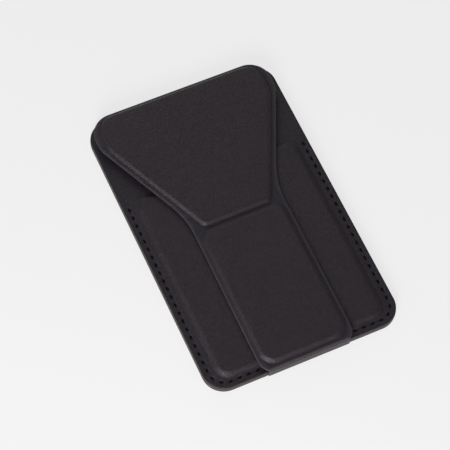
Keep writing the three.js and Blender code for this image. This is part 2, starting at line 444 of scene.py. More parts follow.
def mouth_half_gap(x):
    widening = MOUTH_GAP / 2 - MOUTH_SHUT_HALF_GAP
    return (MOUTH_SHUT_HALF_GAP + mouth_opening(x) * widening) * (np.abs(x) < CARD_HALF)


def mouth_ring(step):
    columns = np.arange(-CARD_HALF, CARD_HALF + step / 2, step)
    gap = mouth_half_gap(columns)
    near = [(x, MOUTH_Y - half) for x, half in zip(columns, gap)]
    far = [(x, MOUTH_Y + half) for x, half in zip(columns, gap)]
    return near + far[::-1]


def mould_share(points):
    """How far each point is lifted over the cards, from 0 on the border to 1."""
    slope = bpy.context.scene.card_holder_sizes.mould_slope
    shut = smooth(inside_distance(points, mould_outline(MOUTH_Y)) / slope)
    lifted = smooth(inside_distance(points, mould_outline(MOUTH_Y + MOUTH_OVERRUN)) / slope)
    share = shut + (lifted - shut) * mouth_opening(points[:, 0])
    return np.where(points[:, 1] > MOUTH_Y, 0, share)


def stitch_places():
    """The middle and direction of each stitch, down one side, along the lower edge and up."""
    sizes = bpy.context.scene.card_holder_sizes
    path = [
        point for point in outline_points(grown(body_outline(), -sizes.stitch_inset), PATH_STEP)
        if point.y < sizes.stitch_end
    ]
    start = max(range(len(path)), key=lambda i: (path[i].x < 0) * path[i].y)
    path = path[start:] + path[:start]
    lengths = [0]
    for before, after in zip(path, path[1:]):
        lengths.append(lengths[-1] + (after - before).length)
    count = round(lengths[-1] / sizes.stitch_pitch)
    pitch = lengths[-1] / count
    places = []
    for i in range(count):
        at = int(np.searchsorted(lengths, (i + 0.5) * pitch))
        along = (path[min(at + 2, len(path) - 1)] - path[max(at - 2, 0)]).normalized()
        places.append((path[at], along))
    return places


# Size of a stitch's hollow, as shares of the stitch's length and the thread's width
PIT_LENGTH = 1.15
PIT_WIDTH = 1.7
PIT_DEPTH = 0.32 * MM
PIT_RINGS = (1.05, 0.7, 0.35)
PIT_CORNERS = 12


def stitch_pit(points, places, length, width):
    """How deep in a stitch's hollow each point lies, from 0 to 1."""
    deepest = np.zeros(len(points))
    for middle, along in places:
        offset = points - np.array(middle)
        near = np.hypot(*offset.T) < length
        local = offset[near]
        lengthwise = (local @ np.array(along)) / (length / 2)
        sideways = (local @ np.array((-along.y, along.x))) / (width / 2)
        share = 1 - smooth(np.hypot(lengthwise, sideways))
        deepest[near] = np.maximum(deepest[near], share)
    return deepest


def ellipse(middle, along, length, width, count):
    across = Vector((-along.y, along.x))
    turns = [2 * math.pi * i / count for i in range(count)]
    return [
        middle + (along * math.cos(turn) * length + across * math.sin(turn) * width) / 2
        for turn in turns
    ]


def build_front_leather():
    sizes = bpy.context.scene.card_holder_sizes
    outline = body_outline()
    places = stitch_places()
    pit_length = sizes.stitch_length * PIT_LENGTH
    pit_width = sizes.thread_width * PIT_WIDTH
    rings = edge_rings(outline, sizes.edge_round, sizes.step)
    mould_foot = mould_outline(MOUTH_Y - MOULD_RING_INSET)
    rings += slope_rings(mould_foot, sizes.mould_slope, sizes.step, MOULD_RINGS)
    rings.append(outline_points(grown(outline, -sizes.stitch_inset / 2), sizes.step))
    for middle, along in places:
        for share in PIT_RINGS:
            ring = ellipse(middle, along, pit_length * share, pit_width * share, PIT_CORNERS)
            rings.append(ring)
    rings.append(mouth_ring(sizes.step))
    points, triangles = flat_mesh(outline, rings, [], sizes.grid)
    middles = points[triangles].mean(1)
    in_mouth = np.abs(middles[:, 1] - MOUTH_Y) < mouth_half_gap(middles[:, 0])
    triangles = triangles[~in_mouth]

    inside = inside_distance(points, outline)
    mould = mould_share(points)
    lift = sizes.mould_rise * mould
    seam_line = np.abs(inside - sizes.stitch_inset)
    sewn = 1 - smooth((points[:, 1] - sizes.stitch_end) / SEAM_FADE)
    pull = (1 - smooth(seam_line / SEAM_WIDTH)) * sewn
    pit = stitch_pit(points, places, pit_length, pit_width)
    top = front_high.z - sizes.mould_rise + lift
    top += undulation(points, FRONT_WAVE_SIZE, FRONT_WAVE_DEPTH) * mould
    top -= SEAM_DEPTH * pull + PIT_DEPTH * pit + edge_drop(inside, sizes.edge_round)
    bottom = front_low.z + lift + edge_drop(inside, sizes.edge_round / 2)
    # Partly the darker, cooler look of flattened leather, partly painted shade that dims the border, most near the
    # rim
    pressed = (1 - smooth(mould / 0.5)) * (1 - 0.4 * smooth(inside / BORDER_FADE))
    painted = 0.5 * np.exp(-(inside / PAINT_WIDTH) ** 2)
    # Painted shade along the seam line, where the stitches pull the leather in
    groove_shade = 0.45 * (1 - smooth(seam_line / GROOVE_WIDTH)) * sewn
    # Painted shade in the stitch hollows and along the seam, joined with the darker rim
    dark = np.maximum(smooth(pit / 0.5), np.maximum(groove_shade, painted))
    piece = closed_sheet(
        "front_leather", triangles, np.column_stack([points, top]),
        np.column_stack([points, bottom]), {"pressed": pressed, "dark": dark},
    )
    shade(piece)
    return piece


# Back leather and stacked edge

CORNER_SEGMENTS = 14
ROUND_SEGMENTS = 3
EDGE_DEPTH = 0.4 * MM
EDGE_BULGE = 0.03 * MM
EDGE_LEVELS = (0.15, 0.5, 0.85)
BACK_TONE = 0.8
BACK_ROUGHNESS = 0.6
ELEMENTS = {"EDGE": "edges", "FACE": "polygons"}


def edit_mesh(kind, test):
    """Opens the active mesh for editing, with those edges or faces picked that pass a test."""
    bpy.ops.object.mode_set(mode="EDIT")
    bpy.ops.mesh.select_mode(type=kind)
    bpy.ops.mesh.select_all(action="DESELECT")
    bpy.ops.object.mode_set(mode="OBJECT")
    mesh = bpy.context.object.data
    for element in getattr(mesh, ELEMENTS[kind]):
        element.select = test([mesh.vertices[i].co for i in element.vertices])
    bpy.ops.object.mode_set(mode="EDIT")


def is_upright(corners):
    return abs(corners[0].z - corners[1].z) > 0.1 * MM


def lies_at(*heights):
    return lambda corners: any(
        all(abs(corner.z - height) < 0.01 * MM for corner in corners) for height in heights
    )


def rounded_block(name, low, high, corner_radius):
    """A block between two corners of the frame, with its upright edges rounded."""
    bpy.ops.object.select_all(action="DESELECT")
    bpy.ops.mesh.primitive_cube_add(size=1, location=(low + high) / 2, scale=high - low)
    block = bpy.context.object
    block.name = name
    block.data.name = name
    bpy.ops.object.transform_apply(location=True, rotation=True, scale=True)
    edit_mesh("EDGE", is_upright)
    bpy.ops.mesh.bevel(offset=corner_radius, segments=CORNER_SEGMENTS, affect="EDGES")
    bpy.ops.object.mode_set(mode="OBJECT")
    return block


def build_back_leather():
    sizes = bpy.context.scene.card_holder_sizes
    piece = rounded_block("back_leather", back_low, back_high, sizes.body_corner)
    edit_mesh("EDGE", lies_at(back_low.z, back_high.z))
    bpy.ops.mesh.bevel(offset=sizes.edge_round, segments=ROUND_SEGMENTS, affect="EDGES")
    bpy.ops.object.mode_set(mode="OBJECT")
    shade(piece)
    return piece


def build_edge_stack(low, high):
    """A band round the body that shows the edges of the layers between the leathers."""
    piece = rounded_block("edge_stack", low, high, bpy.context.scene.card_holder_sizes.body_corner)
    edit_mesh("FACE", lies_at(low.z, high.z))
    bpy.ops.mesh.delete(type="FACE")
    bulge = 1 + EDGE_BULGE / high.x
    for share in EDGE_LEVELS:
        bpy.ops.mesh.select_all(action="SELECT")
        bpy.ops.mesh.bisect(
            plane_co=(0, 0, low.z + share * (high.z - low.z)), plane_no=(0, 0, 1),
        )
        bpy.ops.transform.resize(value=(bulge, bulge, 1), center_override=(0, 0, 0))
    bpy.ops.object.mode_set(mode="OBJECT")
    wall = piece.modifiers.new("wall", "SOLIDIFY")
    wall.thickness = EDGE_DEPTH
    wall.offset = -1
    bpy.ops.object.modifier_apply(modifier="wall")
    shade(piece)
    return piece


# Stitches

THREAD_SIDES = 8
THREAD_SUNK = 0.24 * MM
THREAD_SLANT = math.radians(7)
THREAD_SMOOTH = 60
# Half of a stitch: place as a share of its length, height in mm, width as a share of the thread's
THREAD_ROUTE = ((-0.5, -0.42, 0.7), (-0.44, -0.12, 0.95), (-0.3, 0.02, 1.0), (-0.1, 0.06, 1.05))


def build_one_stitch():
    """A short length of thread that rises out of one hole and dives into the next."""
    sizes = bpy.context.scene.card_holder_sizes
    radius = sizes.thread_width / 2
    route = list(THREAD_ROUTE)
    route += [(-x, height, width) for x, height, width in reversed(route)]
    length = sizes.stitch_length
    x, height, width = route[0]
    bpy.ops.object.select_all(action="DESELECT")
    bpy.ops.mesh.primitive_circle_add(
        vertices=THREAD_SIDES, radius=radius * width, fill_type="NGON", rotation=(0, math.pi / 2, 0),
        location=(x * length, 0, height * MM),
    )
    stitch = bpy.context.object
    bpy.ops.object.transform_apply(location=True, rotation=True, scale=True)
    bpy.ops.object.mode_set(mode="EDIT")
    bpy.ops.mesh.select_all(action="SELECT")
    for before, after in zip(route, route[1:]):
        move = ((after[0] - before[0]) * length, 0, (after[1] - before[1]) * MM)
        bpy.ops.mesh.extrude_region_move(TRANSFORM_OT_translate={"value": move})
        grow = after[2] / before[2]
        middle = (after[0] * length, 0, after[1] * MM)
        bpy.ops.transform.resize(value=(1, grow, grow), center_override=middle)
    bpy.ops.mesh.select_all(action="SELECT")
    bpy.ops.mesh.normals_make_consistent(inside=False)
    bpy.ops.object.mode_set(mode="OBJECT")
    return stitch


def build_stitches():
    sizes = bpy.context.scene.card_holder_sizes
    height = front_high.z - sizes.mould_rise - THREAD_SUNK
    first = build_one_stitch()
    row = []
    for middle, along in stitch_places():
        stitch = first.copy()
        stitch.data = first.data.copy()
        stitch.location = (middle.x, middle.y, height)
        stitch.rotation_euler = (0, 0, math.atan2(along.y, along.x) + THREAD_SLANT)
        bpy.context.scene.collection.objects.link(stitch)
        row.append(stitch)
    bpy.data.objects.remove(first)
    bpy.ops.object.select_all(action="DESELECT")
    for stitch in row:
        stitch.select_set(True)
    bpy.context.view_layer.objects.active = row[0]
    bpy.ops.object.join()
    piece = bpy.context.object
    piece.name = "stitching"
    piece.data.name = "stitching"
    bpy.ops.object.transform_apply(location=True, rotation=True, scale=True)
    shade(piece, THREAD_SMOOTH)
    return piece


# Flap

STEM_HALF = stem_high.x
FOOT_HALF = foot_high.x
STRIP_HALF = strip_high.x
FOLD_Y = strip_low.y
FLAP_END = foot_high.y
TAPER_Y = FOLD_Y + 2.7 * MM
NECK_Y = CREASE.y + 5.7 * MM
SHOULDER_Y = FLAP_END - 11.3 * MM
FLANGE_TOP = 4.8 * MM
FOLD_RADIUS = 0.8 * MM
STRIP_SPLIT_Y = -24 * MM
COVER = 0.5 * MM
BOARD_MARGIN = 2.05 * MM
BOARD_SHOULDER_MARGIN = 2.7 * MM
BOARD_TOP_MARGIN = 1.1 * MM
BOARD_CREASE_MARGIN = 1.2 * MM
BOARD_LOW_RADIUS = 4 * MM
BOARD_CREASE_RADIUS = 3 * MM
STRIP_RADIUS = 1 * MM
TAPER_RADIUS = 3.5 * MM
NECK_RADIUS = 30 * MM
SHOULDER_RADIUS = 9 * MM
END_RADIUS = 7.3 * MM
SLOPE_OUTSIDE = 0.6
SLOPE_RINGS = 8
CREASE_LINES = 7
CREASE_LINE_STEP = 0.2 * MM
FOLD_LINES = 9
TURN_LINES = 7
COVER_WAVE_SIZE = 12 * MM
COVER_WAVE_DEPTH = 0.05 * MM
# Widths of the painted highlight along the flap's cut edges and over the fold
HIGHLIGHT_EDGE_WIDTH = 0.35 * MM
HIGHLIGHT_FOLD_WIDTH = 0.5 * MM
LINING_INSET = 0.12 * MM
LINING_ROUND = 0.08 * MM


def flap_outline(low):
    """The flap laid flat: the strip below the fold carries straight on down to the low end."""
    return mirrored([
        (STRIP_HALF, low, 0),
        (STRIP_HALF, FOLD_Y, STRIP_RADIUS),
        (STEM_HALF, TAPER_Y, TAPER_RADIUS),
        (STEM_HALF, NECK_Y, NECK_RADIUS),
        (FOOT_HALF, SHOULDER_Y, SHOULDER_RADIUS),
        (FOOT_HALF, FLAP_END, END_RADIUS),
    ])


def stem_board_outline():
    return rectangle(
        stem_board_low.x, stem_board_high.x, stem_board_low.y, stem_board_high.y,
        BOARD_LOW_RADIUS, BOARD_CREASE_RADIUS,
    )


def foot_board_outline():
    lean = (FOOT_HALF - STEM_HALF) / (SHOULDER_Y - NECK_Y)
    crease_half = STEM_HALF - (NECK_Y - CREASE.y) * lean
    side = mirrored([
        (crease_half, CREASE.y, 1 * MM + BOARD_MARGIN),
        (FOOT_HALF, SHOULDER_Y, SHOULDER_RADIUS),
        (FOOT_HALF, FLAP_END, END_RADIUS),
    ])
    margins = [
        -BOARD_MARGIN, -BOARD_SHOULDER_MARGIN, -BOARD_TOP_MARGIN, -BOARD_SHOULDER_MARGIN,
        -BOARD_MARGIN, -BOARD_CREASE_MARGIN,
    ]
    return moved_edges(side, margins)


# The route of the leather from the tail behind the core up over the fold, as lengths along it

STRIP_TURN = 0.6 * MM
FOLD_START = FOLD_Y + FOLD_RADIUS
FOLD_ARC = FOLD_RADIUS * math.pi / 2
DROP = (FLANGE_TOP - FOLD_RADIUS) - (strip_low.z + STRIP_TURN)
TURN_ARC = STRIP_TURN * math.pi / 2
TAIL = 4 * MM
ROUTE_END = FOLD_START - FOLD_ARC - DROP - TURN_ARC - TAIL


def along_route(points, heights):
    """Carries flat points (x, length) over the fold, down the edge and in behind the core.
    heights are measured from the outer face of the flange."""
    x = points[:, 0]
    length = points[:, 1]
    y = length.copy()
    z = FLANGE_TOP + heights
    past = FOLD_START - length
    on_fold = (past > 0) & (past <= FOLD_ARC)
    angle = past / FOLD_RADIUS
    radius = FOLD_RADIUS + heights
    y = np.where(on_fold, FOLD_START - radius * np.sin(angle), y)
    z = np.where(on_fold, FLANGE_TOP - FOLD_RADIUS + radius * np.cos(angle), z)
    past = past - FOLD_ARC
    on_drop = (past > 0) & (past <= DROP)
    y = np.where(on_drop, FOLD_Y - heights, y)
    z = np.where(on_drop, FLANGE_TOP - FOLD_RADIUS - past, z)
    past = past - DROP
    on_turn = (past > 0) & (past <= TURN_ARC)
    angle = past / STRIP_TURN
    radius = STRIP_TURN + heights
    y = np.where(on_turn, FOLD_Y + STRIP_TURN - radius * np.cos(angle), y)
    z = np.where(on_turn, strip_low.z + STRIP_TURN - radius * np.sin(angle), z)
    past = past - TURN_ARC
    on_tail = past > 0
    y = np.where(on_tail, FOLD_Y + STRIP_TURN + past, y)
    z = np.where(on_tail, strip_low.z - heights, z)
    return np.column_stack([x, y, z])


def slope_foot(board, slope):
    """Where the cover's slope round a board meets the flange."""
    return grown(board, slope * SLOPE_OUTSIDE)


def flap_boards():
    sizes = bpy.context.scene.card_holder_sizes
    return (
        (stem_board_outline(), sizes.stem_slope),
        (foot_board_outline(), sizes.foot_slope),
    )


def flap_lift(points):
    """How far the boards lift the cover, from 0 on the flange to 1."""
    lift = np.zeros(len(points))
    for board, slope in flap_boards():
        inside = inside_distance(points, slope_foot(board, slope))
        lift = np.maximum(lift, smooth(inside / slope))
    return lift


def build_flap_cover():
    """The flap's leather in two pieces, which meet on the stem."""
    sizes = bpy.context.scene.card_holder_sizes
    outline = flap_outline(ROUTE_END)
    rings = edge_rings(outline, sizes.edge_round, sizes.step)
    for board, slope in flap_boards():
        rings += slope_rings(slope_foot(board, slope), slope, sizes.step, SLOPE_RINGS)
    lines = []
    columns = np.arange(-FOOT_HALF, FOOT_HALF, sizes.step)
    across_stem = columns[np.abs(columns) < STEM_HALF + 2 * MM]
    across_strip = columns[np.abs(columns) < STEM_HALF]
    for i in range(-CREASE_LINES, CREASE_LINES + 1):
        lines.append([(x, CREASE.y + i * CREASE_LINE_STEP) for x in across_stem])
    for share in np.linspace(0, 1, FOLD_LINES):
        lines.append([(x, FOLD_START - FOLD_ARC * share) for x in across_strip])
    for share in np.linspace(0, 1, TURN_LINES):
        at = FOLD_START - FOLD_ARC - DROP - TURN_ARC * share
        lines.append([(x, at) for x in across_strip])
    lines.append([(x, STRIP_SPLIT_Y) for x in across_stem])
    points, triangles = flat_mesh(outline, rings, lines, sizes.grid)
    lift = flap_lift(points)
    rise = (stem_high.z - FLANGE_TOP) * lift
    inside = inside_distance(points, outline)
    waves = undulation(points, COVER_WAVE_SIZE, COVER_WAVE_DEPTH) * lift
    drop = edge_drop(inside, sizes.edge_round)
    top = along_route(points, rise + waves - drop)
    bottom = along_route(points, rise - COVER + drop / 2)
    over_fold = smooth((FOLD_START + 0.5 * MM - points[:, 1]) / (0.8 * MM))
    pressed = (1 - smooth(lift / 0.5)) * (1 - over_fold)
    # Painted highlight along the flap's cut edges and over the fold
    worn = np.exp(-(inside / HIGHLIGHT_EDGE_WIDTH) ** 2)
    fold_highlight = np.exp(-((points[:, 1] - FOLD_START + FOLD_ARC / 2) / HIGHLIGHT_FOLD_WIDTH) ** 2)
    worn = np.maximum(worn, fold_highlight)
    finish = {"pressed": pressed, "worn": worn}
    middles = points[triangles].mean(1)
    upper = middles[:, 1] > STRIP_SPLIT_Y
    pieces = []
    for name, chosen in (("flap_leather_foot", upper), ("flap_leather_hinge", ~upper)):
        piece = closed_sheet(name, triangles[chosen], top, bottom, finish)
        shade(piece)
        pieces.append(piece)
    return pieces


def build_flap_lining(name, low, high):
    """Lining cut to the flap's outline between two levels of y."""
    sizes = bpy.context.scene.card_holder_sizes
    edge = outline_points(grown(flap_outline(FOLD_Y - 1 * MM), -LINING_INSET), sizes.step)
    mesh = bpy.data.meshes.new(name)
    mesh.from_pydata([(x, y, stem_lining_low.z) for x, y in edge], [], [range(len(edge))])
    piece = linked(name, mesh)
    select_only(piece)
    bpy.ops.object.mode_set(mode="EDIT")
    bpy.ops.mesh.select_all(action="SELECT")
    thickness = stem_lining_high.z - stem_lining_low.z
    bpy.ops.mesh.extrude_region_move(TRANSFORM_OT_translate={"value": (0, 0, thickness)})
    for cut, outward in ((low, -1), (high, 1)):
        bpy.ops.mesh.select_all(action="SELECT")
        bpy.ops.mesh.bisect(
            plane_co=(0, cut, 0), plane_no=(0, outward, 0), use_fill=True, clear_outer=True,
        )
    bpy.ops.mesh.select_all(action="SELECT")
    bpy.ops.mesh.normals_make_consistent(inside=False)
    edit_mesh("EDGE", lies_at(stem_lining_low.z))
    bpy.ops.mesh.bevel(offset=LINING_ROUND, segments=2, affect="EDGES")
    bpy.ops.object.mode_set(mode="OBJECT")
    shade(piece)
    return piece


# Finishes

GRAIN_TURN = math.radians(24)
# Grey of the painted highlight on the flap's edges and fold
HIGHLIGHT_GREY = (0.055, 0.050, 0.055, 1)
GRAIN_DEPTH = 0.09 * MM
# Scales of the leather's patterns, in repeats to the metre
PEBBLE_SCALE = 1350.0
PORE_SCALE = 5200.0
STREAK_SCALE = 620.0
WAVE_SCALE = 260.0
TONE_SCALE = 55.0
# Sockets of a colour mix
MIX_SHARE = 0
MIX_FIRST = 6
MIX_SECOND = 7
MIX_RESULT = 2
NICKEL = (0.62, 0.63, 0.65, 1)
NICKEL_ROUGHNESS = 0.28
STEEL = (0.45, 0.46, 0.48, 1)
STEEL_ROUGHNESS = 0.4
# Share of its own even colour that the floor shows to the camera and in reflections
EVEN_SHARE = 0.85


def new_material(name):
    """A material with a Principled shader, and its node tree."""
    material = bpy.data.materials.new(name)
    material.use_nodes = True
    tree = material.node_tree
    return material, tree, tree.nodes["Principled BSDF"]


def fill(tree, socket, value):
    """Links a socket from another one, or sets it to a value."""
    if isinstance(value, bpy.types.NodeSocket):
        tree.links.new(value, socket)
    else:
        socket.default_value = value


def node(tree, kind, settings=None, **inputs):
    """A node with its settings, and its sockets set to values or linked from other sockets."""
    made = tree.nodes.new(kind)
    for key, value in (settings or {}).items():
        setattr(made, key, value)
    for key, value in inputs.items():
        fill(tree, made.inputs[key.replace("_", " ")], value)
    return made


def object_place(tree, scale=(1, 1, 1)):
    place = node(tree, "ShaderNodeTexCoord")
    mapping = node(tree, "ShaderNodeMapping", Vector=place.outputs["Object"], Scale=scale)
    return mapping.outputs["Vector"]


def cloud(tree, place, scale, detail, roughness=0.5):
    """Soft noise, as a share."""
    made = node(
        tree, "ShaderNodeTexNoise", Vector=place, Scale=scale, Detail=detail, Roughness=roughness,
    )
    return made.outputs["Fac"]


def mixed_colour(tree, share, first, second, blend="MIX"):
    """Two colours, or sockets that give them, blended in step with a share."""
    mix = node(tree, "ShaderNodeMix", {"data_type": "RGBA", "blend_type": blend})
    fill(tree, mix.inputs[MIX_SHARE], share)
    fill(tree, mix.inputs[MIX_FIRST], first)
    fill(tree, mix.inputs[MIX_SECOND], second)
    return mix.outputs[MIX_RESULT]


def scaled_colour(tree, share, colour, factor):
    """A colour multiplied by another in step with a share."""
    return mixed_colour(tree, share, colour, factor, "MULTIPLY")


def ranged(tree, value, low, high, from_low=0.0, from_high=1.0):
    scaled = node(
        tree, "ShaderNodeMapRange", Value=value, From_Min=from_low, From_Max=from_high,
        To_Min=low, To_Max=high,
    )
    return scaled.outputs["Result"]


def tinted(colour, factor):
    return tuple(channel * factor for channel in colour[:3]) + (1,)


def paint(tree, shader, pattern, colour, darkest, lightest):
    """Colours a shader in tones of one colour that follow a pattern."""
    tones = mixed_colour(tree, pattern, tinted(colour, darkest), tinted(colour, lightest))
    tree.links.new(tones, shader.inputs["Base Color"])


def emboss(tree, shader, pattern, strength, distance):
    """Raises a shader's surface by a pattern."""
    bump = node(tree, "ShaderNodeBump", Strength=strength, Distance=distance, Height=pattern)
    tree.links.new(bump.outputs["Normal"], shader.inputs["Normal"])


def grained_leather(name, colour, roughness=0.46):
    """Fine-grained leather: small flat pebbles between creases, with painted shade in the creases,
    slow tone changes, darker and cooler where it is flattened, partly as painted shade on the
    body's border, painted shade in the stitch hollows and along the seam, darker along the body's
    rim, and a painted highlight along the flap's cut edges and over its fold."""
    material, tree, shader = new_material(name)
    place = object_place(tree)
    turned = node(
        tree, "ShaderNodeMapping", Vector=place, Rotation=(0, 0, GRAIN_TURN), Scale=(1, 2.6, 1),
    ).outputs["Vector"]
    pebble = node(
        tree, "ShaderNodeTexVoronoi", {"feature": "DISTANCE_TO_EDGE"},
        Vector=turned, Scale=PEBBLE_SCALE, Randomness=1.0,
    )
    crease = ranged(tree, pebble.outputs["Distance"], 0.0, 1.0, 0.0, 0.25)
    pores = cloud(tree, place, PORE_SCALE, 2.0)
    streaks = cloud(tree, turned, STREAK_SCALE, 3.0, 0.6)
    waves = cloud(tree, place, WAVE_SCALE, 3.0, 0.6)
    tone = cloud(tree, place, TONE_SCALE, 2.0)
    pressed, worn, dark = [
        node(tree, "ShaderNodeAttribute", {"attribute_name": label}).outputs["Fac"]
        for label in ("pressed", "worn", "dark")
    ]

    base = mixed_colour(tree, tone, tinted(colour, 0.84), tinted(colour, 1.16))
    streak = ranged(tree, streaks, 0.0, 1.0, 0.35, 0.7)
    base = scaled_colour(tree, streak, base, (0.62, 0.62, 0.62, 1))
    # Painted shade in the creases of the grain
    crease_shade = ranged(tree, crease, 1.0, 0.0)
    base = scaled_colour(tree, crease_shade, base, (0.6, 0.6, 0.6, 1))
    # Darker and cooler where flattened: partly the leather's own look, partly painted shade on the body's border
    base = scaled_colour(tree, pressed, base, (0.66, 0.70, 0.95, 1))
    # Painted highlight along the flap's cut edges and over the fold
    base = mixed_colour(tree, ranged(tree, worn, 0.0, 0.5), base, HIGHLIGHT_GREY)
    # Painted shade in the stitch hollows and along the seam, and the darker rim of the body
    base = scaled_colour(tree, dark, base, (0.06, 0.06, 0.07, 1))
    tree.links.new(base, shader.inputs["Base Color"])

    uneven = ranged(tree, waves, roughness - 0.07, roughness + 0.07)
    tree.links.new(uneven, shader.inputs["Roughness"])
    shader.inputs["Specular IOR Level"].default_value = 0.42
    shader.inputs["Sheen Weight"].default_value = 0.02
    shader.inputs["Sheen Roughness"].default_value = 0.5
    slow = node(tree, "ShaderNodeBump", Strength=0.35, Distance=0.1 * MM, Height=waves)
    grain = node(
        tree, "ShaderNodeBump", Strength=0.5, Distance=GRAIN_DEPTH, Height=crease,
        Normal=slow.outputs["Normal"],
    )
    fine = node(
        tree, "ShaderNodeBump", Strength=0.2, Distance=0.02 * MM, Height=pores,
        Normal=grain.outputs["Normal"],
    )
    tree.links.new(fine.outputs["Normal"], shader.inputs["Normal"])
    return material


def microfibre(name, colour):
    """Short-napped microfibre."""
    material, tree, shader = new_material(name)
    place = object_place(tree)
    paint(tree, shader, cloud(tree, place, 90.0, 2.0), colour, 0.8, 1.3)
    shader.inputs["Roughness"].default_value = 0.95
    shader.inputs["Sheen Weight"].default_value = 0.05
    shader.inputs["Sheen Roughness"].default_value = 0.4
    shader.inputs["Specular IOR Level"].default_value = 0.2
    emboss(tree, shader, cloud(tree, place, 3800.0, 3.0, 0.7), 0.6, 0.05 * MM)
    return material


def stacked_edge(name, colour):
    """Sanded and painted edges of stacked layers, as fine level lines."""
    material, tree, shader = new_material(name)
    layers = cloud(tree, object_place(tree, (60, 60, 5200)), 1.0, 3.0)
    paint(tree, shader, layers, colour, 0.6, 1.4)
    shader.inputs["Roughness"].default_value = 0.65
    emboss(tree, shader, layers, 0.5, 0.04 * MM)
    return material


def waxed_thread(name, colour):
    """Twisted and waxed thread."""
    material, tree, shader = new_material(name)
    strands = node(
        tree, "ShaderNodeTexWave", {"bands_direction": "DIAGONAL"},
        Vector=object_place(tree), Scale=900.0, Distortion=1.0,
    ).outputs["Fac"]
    paint(tree, shader, strands, colour, 0.6, 1.5)
    shader.inputs["Roughness"].default_value = 0.7
    shader.inputs["Specular IOR Level"].default_value = 0.08
    emboss(tree, shader, strands, 0.5, 0.05 * MM)
    return material


def pressed_board(name, colour):
    """Pressed fibre board."""
    material, tree, shader = new_material(name)
    fibres = cloud(tree, object_place(tree), 900.0, 4.0, 0.7)
    paint(tree, shader, fibres, colour, 0.7, 1.4)
    shader.inputs["Roughness"].default_value = 0.85
    emboss(tree, shader, fibres, 0.4, 0.03 * MM)
    return material


def plain_metal(name, colour, roughness):
    """Plated or rolled metal with a faint unevenness."""
    material, tree, shader = new_material(name)
    streaks = cloud(tree, object_place(tree), 700.0, 3.0)
    paint(tree, shader, streaks, colour, 0.9, 1.1)
    uneven = ranged(tree, streaks, roughness - 0.05, roughness + 0.05)
    tree.links.new(uneven, shader.inputs["Roughness"])
    shader.inputs["Metallic"].default_value = 1.0
    return material


def floor_paper(name, colour):
    """Plain matte paper. The camera and reflections see mostly its own colour, evenly lit, so that
    the shadows on it look faint."""
    material, tree, shader = new_material(name)
    paint(tree, shader, cloud(tree, object_place(tree), 400.0, 2.0), colour, 0.998, 1.002)
    shader.inputs["Roughness"].default_value = 0.95
    shader.inputs["Specular IOR Level"].default_value = 0.1
    even = node(tree, "ShaderNodeEmission", Color=colour, Strength=1.0)
    path = node(tree, "ShaderNodeLightPath")
    seen = node(tree, "ShaderNodeMath", {"operation": "MAXIMUM"})
    tree.links.new(path.outputs["Is Camera Ray"], seen.inputs[0])
    tree.links.new(path.outputs["Is Glossy Ray"], seen.inputs[1])
    mixed = node(tree, "ShaderNodeMixShader")
    tree.links.new(ranged(tree, seen.outputs[0], 0.0, EVEN_SHARE), mixed.inputs[0])
    tree.links.new(shader.outputs[0], mixed.inputs[1])
    tree.links.new(even.outputs[0], mixed.inputs[2])
    tree.links.new(mixed.outputs[0], tree.nodes["Material Output"].inputs["Surface"])
    return material


def dress(piece, material, body):
    """Gives a piece its finish and lets it move with a body."""
    piece.data.materials.clear()
    piece.data.materials.append(material)
    if body:
        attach(piece, body)
    return piece


# Place in metres, size in metres and power in watts of each lamp
LAMPS = {
    "key_light": ((-0.26, -0.37, 0.23), 0.26, 3.2),
    "side_light": ((-0.42, -0.05, 0.17), 0.20, 0.3),
    "back_light": ((0.15, 0.9, 0.4), 0.6, 1.6),
}
SKY_STRENGTH = 0.27
BACKDROP = (0.88, 0.88, 0.88, 1)
FLOOR_SIZE = 6
FLOOR_LEVEL = -0.1 * MM
CAMERA_LENS = 153.9
CAMERA_PLACE = (-0.13696, -0.24869, 0.54033)
CAMERA_TURNS = (27.6275, -1.8436, -24.3762)


# Operators

class CARDHOLDER_OT_front(bpy.types.Operator):
    """Moulded front leather with the mouth of the card pocket"""

    bl_idname = "card_holder.front"
    bl_label = "Front leather"

    def execute(self, context):
        leather = grained_leather("front_leather", context.scene.card_holder_colours.leather)
        piece = dress(build_front_leather(), leather, "body")
        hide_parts("front_panel")
        return {"FINISHED"}


class CARDHOLDER_OT_back(bpy.types.Operator):
    """Back leather and the stacked edge of the body"""

    bl_idname = "card_holder.back"
    bl_label = "Back and edge"

    def execute(self, context):
        colours = context.scene.card_holder_colours
        leather = grained_leather("back_leather", tinted(colours.leather, BACK_TONE), BACK_ROUGHNESS)
        piece = dress(build_back_leather(), leather, "body")
        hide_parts("back_panel")
        low = Vector((back_low.x, back_low.y, back_high.z))
        high = Vector((back_high.x, back_high.y, front_low.z))
        edge = build_edge_stack(low, high)
        dress(edge, stacked_edge("edge_stack", colours.edge), "body")
        return {"FINISHED"}


class CARDHOLDER_OT_stitches(bpy.types.Operator):
    """Row of stitches round the lower half of the body"""

    bl_idname = "card_holder.stitches"
    bl_label = "Stitches"

    def execute(self, context):
        thread = waxed_thread("waxed_thread", context.scene.card_holder_colours.thread)
        dress(build_stitches(), thread, "body")
        return {"FINISHED"}


class CARDHOLDER_OT_flap(bpy.types.Operator):
    """Flap leather over both boards, its crease and its fold over the lower edge"""

    bl_idname = "card_holder.flap"
    bl_label = "Flap leather"

    def execute(self, context):
        leather = grained_leather("flap_leather", context.scene.card_holder_colours.leather)
        foot, hinge = build_flap_cover()
        dress(foot, leather, None)
        dress(hinge, leather, None)
        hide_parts("foot_cover")
        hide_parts("stem_cover", "hinge_strip")
        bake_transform(foot)
        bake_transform(hinge)
        return {"FINISHED"}


